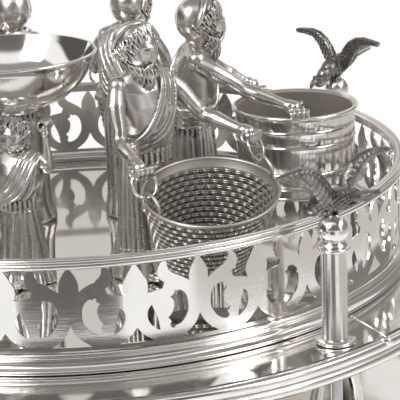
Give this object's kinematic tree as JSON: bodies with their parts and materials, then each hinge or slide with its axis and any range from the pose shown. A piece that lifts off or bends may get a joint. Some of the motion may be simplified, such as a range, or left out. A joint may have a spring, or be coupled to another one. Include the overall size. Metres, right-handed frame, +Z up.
{
  "type": "tiered seder tray",
  "caption": "Round silver table tray in tiers: matzah shelves below, a pierced gallery with a mirror floor on top, and cast figures that carry baskets, buckets and bowls.",
  "frame": {"origin": "middle of the circle on which the four feet stand, at the level of their undersides", "axes": "+Z up; -Y towards the front; the first corner post is 35.7 degrees from -Y towards +X"},
  "size_m": [0.422, 0.422, 0.3332],
  "materials": {
    "silver": "polished silver with soft edges",
    "polished": "mirror-polished sheet silver",
    "cast": "cast and chased silver, darkened in its recesses",
    "oxidised": "cast silver, oxidised dark, rubbed bright on its high points",
    "steel": "plain turned rod",
    "mirror": "mirror plate"
  },
  "bodies": {
    "root": {"shelf_1": "polished", "shelf_2": "polished", "shelf_3": "polished", "shelf_rim_1": "silver", "shelf_rim_2": "silver", "shelf_rim_3": "silver", "flange_plate": "polished", "flange_rim": "silver", "mirror_floor": "mirror", "gallery_moulding": "silver", "gallery_sheet": "polished", "gallery_rail": "silver", "foot_1": "cast", "foot_2": "cast", "foot_3": "cast", "foot_4": "cast", "bracket_1_1": "cast", "bracket_1_2": "cast", "bracket_1_3": "cast", "bracket_1_4": "cast", "bracket_2_1": "cast", "bracket_2_2": "cast", "bracket_2_3": "cast", "bracket_2_4": "cast", "bracket_3_1": "cast", "bracket_3_2": "cast", "bracket_3_3": "cast", "bracket_3_4": "cast", "tie_rod_1": "steel", "tie_rod_2": "steel", "tie_rod_3": "steel", "tie_rod_4": "steel", "rod_nut_1": "steel", "rod_nut_2": "steel", "rod_nut_3": "steel", "rod_nut_4": "steel", "post_1": "silver", "post_2": "silver", "post_3": "silver", "post_4": "silver", "eagle_1": "oxidised", "eagle_2": "oxidised", "eagle_3": "oxidised", "eagle_4": "oxidised", "bearer_1": "cast", "bearer_2": "cast", "bearer_3": "cast", "bearer_4": "cast", "bearer_5": "cast", "bearer_6": "cast", "bucket_2": "polished", "bucket_5": "polished", "dish_4": "polished", "bowl_6": "polished"},
    "basket_1": {"basket_1": "silver"},
    "basket_3": {"basket_3": "silver"},
    "ring_left_1": {"ring_left_1": "silver"},
    "ring_right_1": {"ring_right_1": "silver"},
    "ring_left_3": {"ring_left_3": "silver"},
    "ring_right_3": {"ring_right_3": "silver"}
  },
  "joints": [
    {"name": "basket_1_swing", "type": "hinge", "parent": "root", "child": "basket_1", "pos_m": [0.0607, -0.08589, 0.26029], "axis": [0.8848, 0.4516, 0.1149], "range_deg": [-12, 6]},
    {"name": "basket_3_swing", "type": "hinge", "parent": "root", "child": "basket_3", "pos_m": [0.04404, 0.09551, 0.26029], "axis": [-0.8335, 0.5405, 0.1149], "range_deg": [-12, 6]},
    {"name": "ring_left_1_swing", "type": "hinge", "parent": "root", "child": "ring_left_1", "pos_m": [0.08624, -0.06871, 0.27474], "axis": [0.7863, -0.4913, 0.3746], "range_deg": [-5, 5]},
    {"name": "ring_right_1_swing", "type": "hinge", "parent": "root", "child": "ring_right_1", "pos_m": [0.02935, -0.09707, 0.26716], "axis": [0.4636, -0.803, 0.3746], "range_deg": [-5, 5]},
    {"name": "ring_left_3_swing", "type": "hinge", "parent": "root", "child": "ring_left_3", "pos_m": [0.01638, 0.10904, 0.27474], "axis": [0.0324, 0.9266, 0.3746], "range_deg": [-5, 5]},
    {"name": "ring_right_3_swing", "type": "hinge", "parent": "root", "child": "ring_right_3", "pos_m": [0.06939, 0.07395, 0.26716], "axis": [0.4636, 0.803, 0.3746], "range_deg": [-5, 5]}
  ]
}
